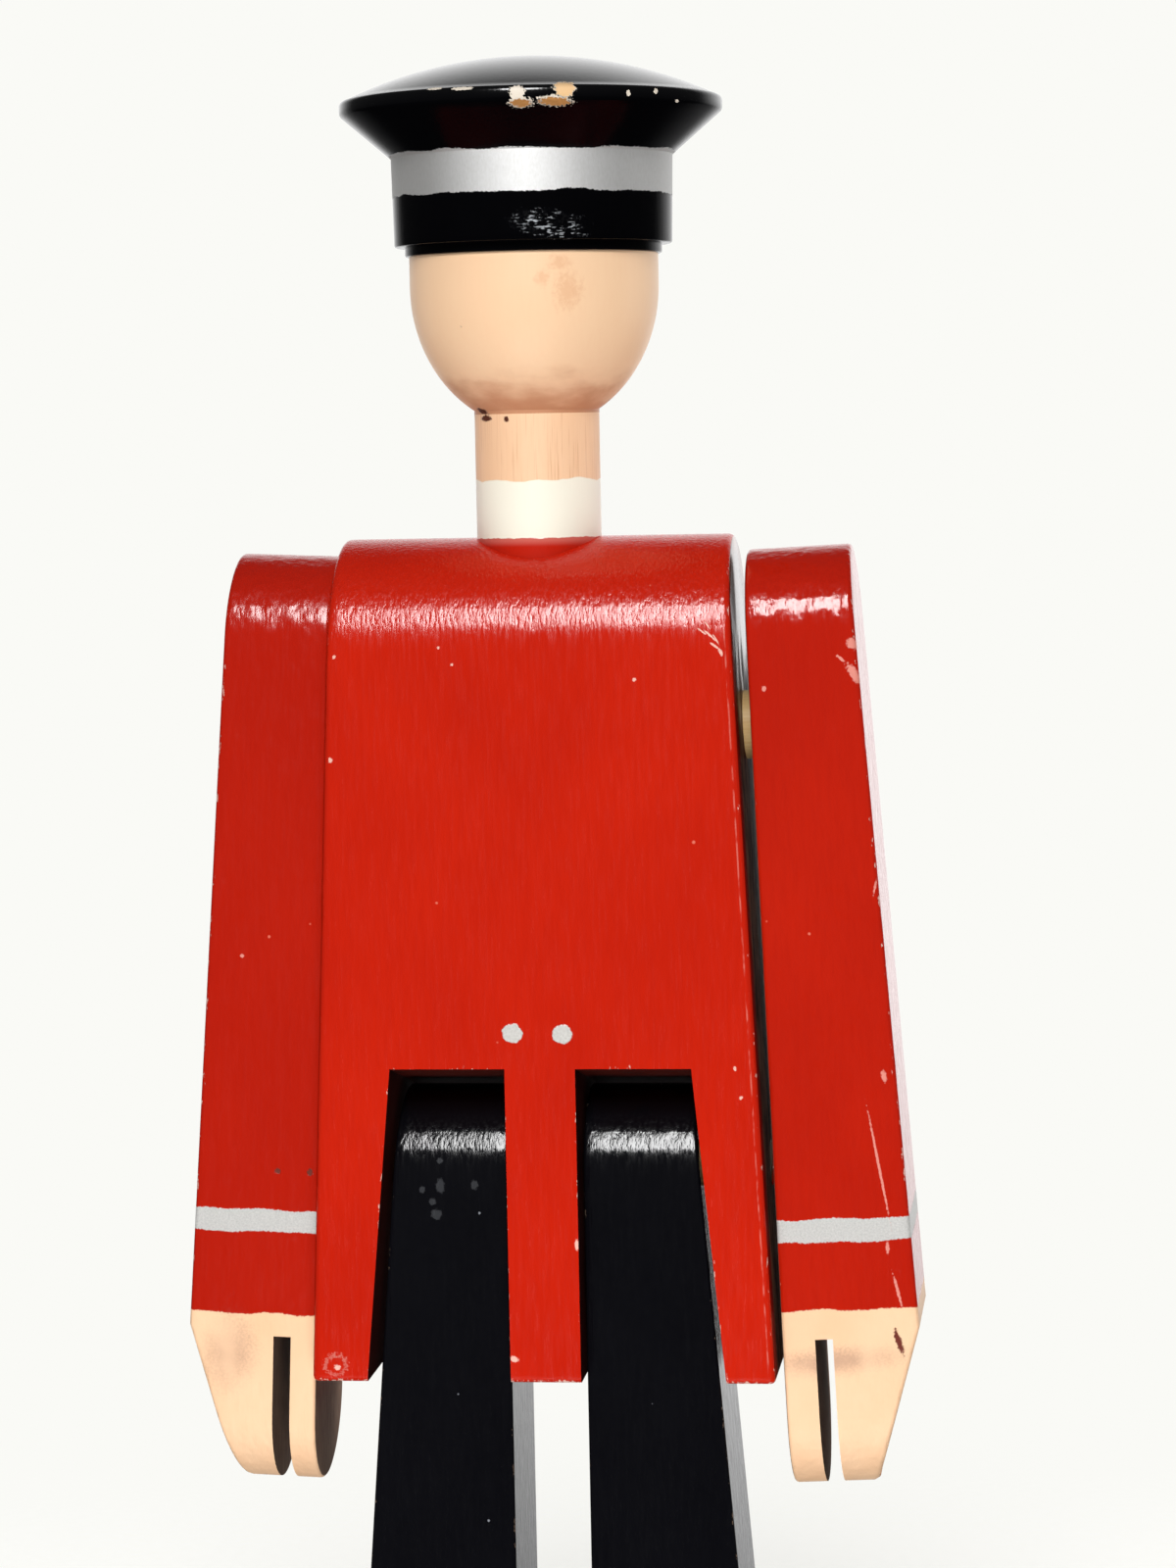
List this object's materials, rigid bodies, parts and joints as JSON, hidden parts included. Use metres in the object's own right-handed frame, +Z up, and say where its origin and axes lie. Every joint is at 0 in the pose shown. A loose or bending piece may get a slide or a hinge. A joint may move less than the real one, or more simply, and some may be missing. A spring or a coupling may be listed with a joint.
{
  "type": "toy soldier figure",
  "caption": "Painted wooden soldier figure with a red coat, black legs and a peaked cap; arms and legs swing on dowels and the head turns.",
  "frame": {"origin": "on the floor under the middle of the coat block", "axes": "+Z up, +Y the way the soldier faces, +X towards its own right hand; the pictured side is the back and faces -Y"},
  "size_m": [0.1285, 0.0683, 0.3435],
  "materials": {
    "red_painted_wood": "gloss enamel",
    "black_painted_wood": "gloss enamel",
    "flesh_painted_wood": "satin enamel",
    "bare_wood": "sanded"
  },
  "bodies": {
    "coat": {"torso_block": "red_painted_wood", "hip_dowel": "bare_wood"},
    "head_and_cap": {"neck_dowel": "flesh_painted_wood", "head": "flesh_painted_wood", "cap_dowel": "bare_wood", "cap": "black_painted_wood", "cap_visor": "black_painted_wood"},
    "left_arm_body": {"left_arm": "red_painted_wood", "left_arm_peg": "bare_wood"},
    "right_arm_body": {"right_arm": "red_painted_wood", "right_arm_peg": "bare_wood"},
    "left_leg_body": {"left_leg": "black_painted_wood", "left_boot": "black_painted_wood", "left_boot_dowel": "bare_wood"},
    "right_leg_body": {"right_leg": "black_painted_wood", "right_boot": "black_painted_wood", "right_boot_dowel": "bare_wood"}
  },
  "joints": [
    {"name": "neck_turn", "type": "hinge", "parent": "coat", "child": "head_and_cap", "pos_m": [0, 0, 0.2604], "axis": [0, 0, 1], "continuous": true},
    {"name": "left_shoulder", "type": "hinge", "parent": "coat", "child": "left_arm_body", "pos_m": [-0.0357, 0, 0.227], "axis": [0.9991, 0, -0.0433], "range_deg": [-155, 155]},
    {"name": "right_shoulder", "type": "hinge", "parent": "coat", "child": "right_arm_body", "pos_m": [0.0357, 0, 0.227], "axis": [0.9991, 0, 0.0433], "range_deg": [-155, 155]},
    {"name": "left_hip", "type": "hinge", "parent": "coat", "child": "left_leg_body", "pos_m": [0.0006, 0, 0.1496], "axis": [1, 0, 0], "range_deg": [-40, 40]},
    {"name": "right_hip", "type": "hinge", "parent": "coat", "child": "right_leg_body", "pos_m": [0.0006, 0, 0.1496], "axis": [1, 0, 0], "range_deg": [-40, 40]}
  ]
}
